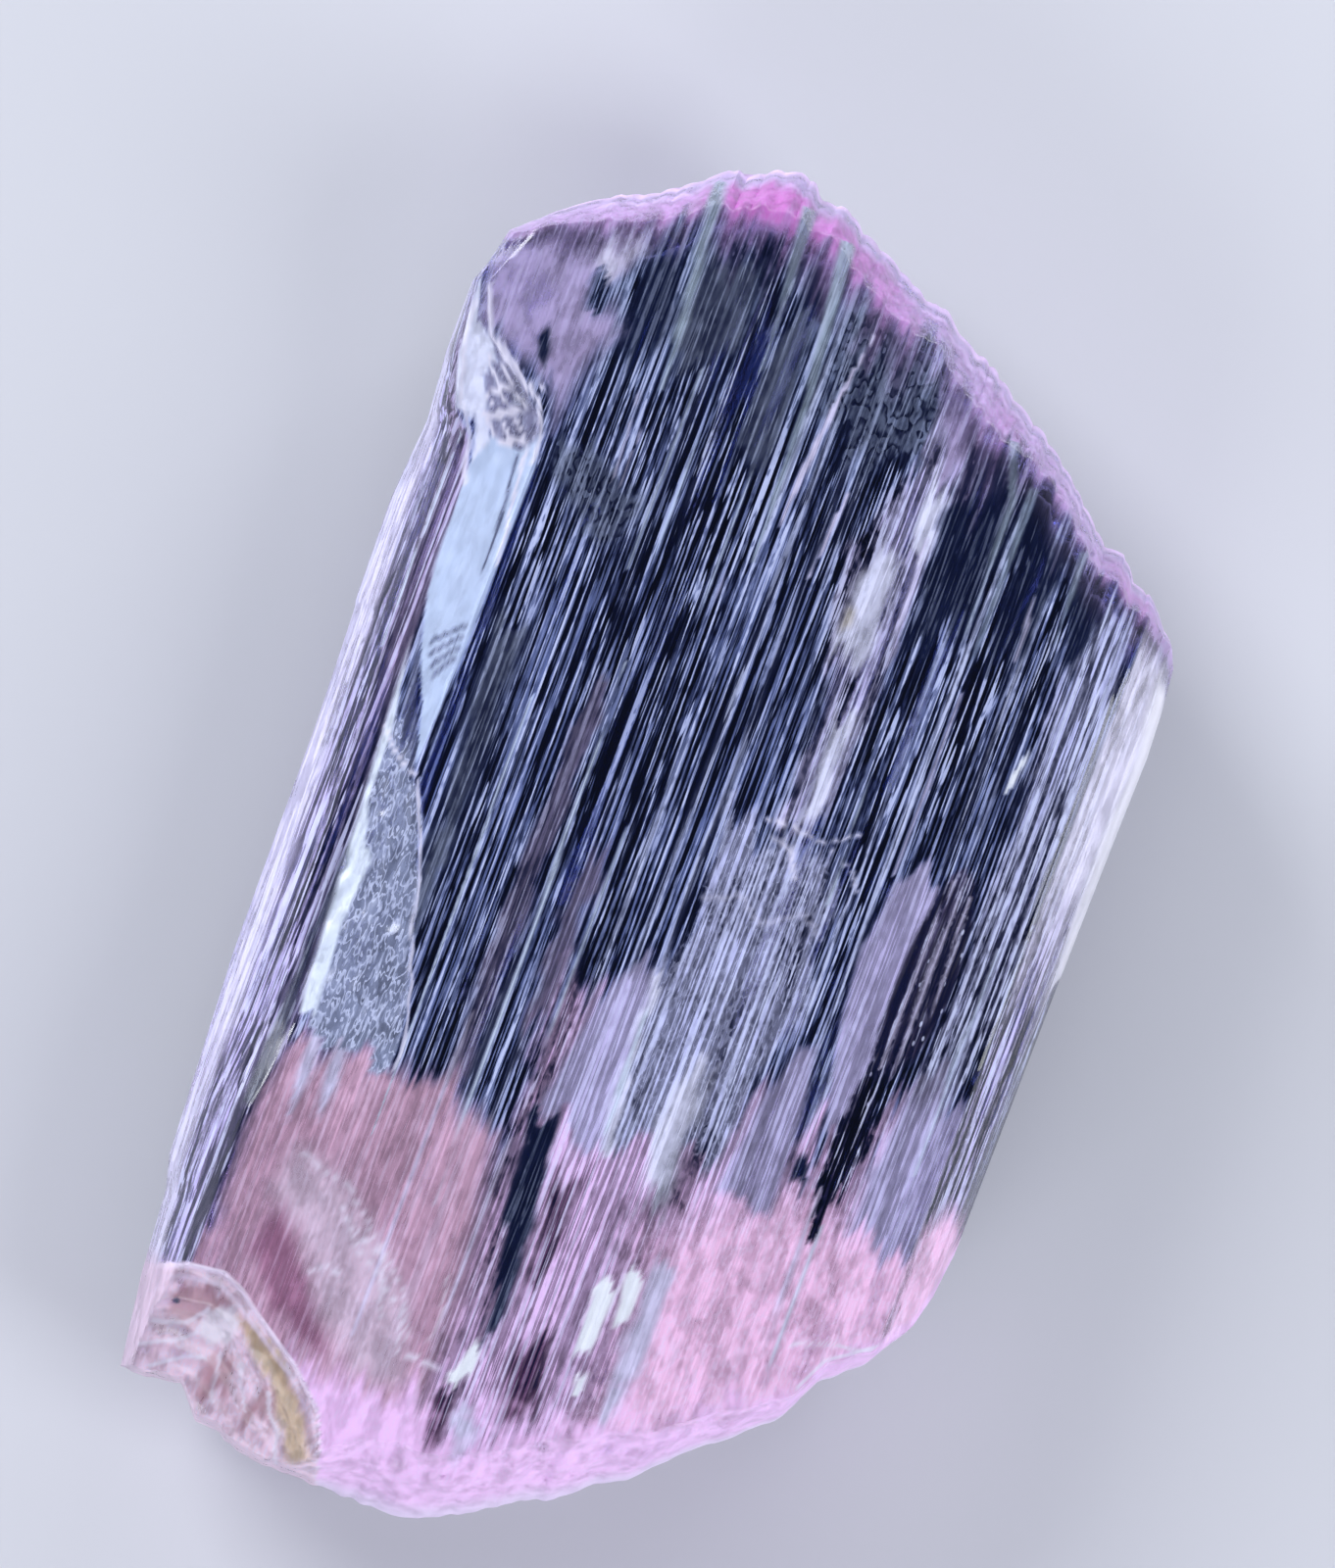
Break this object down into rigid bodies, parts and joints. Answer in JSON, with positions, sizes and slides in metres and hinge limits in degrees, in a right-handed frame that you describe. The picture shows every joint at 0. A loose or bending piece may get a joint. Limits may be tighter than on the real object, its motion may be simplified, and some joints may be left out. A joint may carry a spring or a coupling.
{
  "type": "kunzite crystal",
  "caption": "Loose flattened prism of pale lilac kunzite with lengthwise growth lines, an etched pink natural tip and a shell-like broken end, lying on its broad back face.",
  "frame": {"origin": "middle of the crystal's outline, on the surface that its back face rests on", "axes": "+Y along the growth axis towards the natural tip, +Z out of the broad front face, +X across the crystal towards the side without the fractured shelf"},
  "size_m": [0.037, 0.065, 0.0125],
  "materials": {
    "kunzite": "see-through pale lilac crystal, glossy and finely striated along its length, orchid pink at the etched tip, frosted on the fractures, iron stained at one ledge of the broken end"
  },
  "bodies": {
    "root": {"kunzite_crystal": "kunzite"}
  },
  "joints": []
}
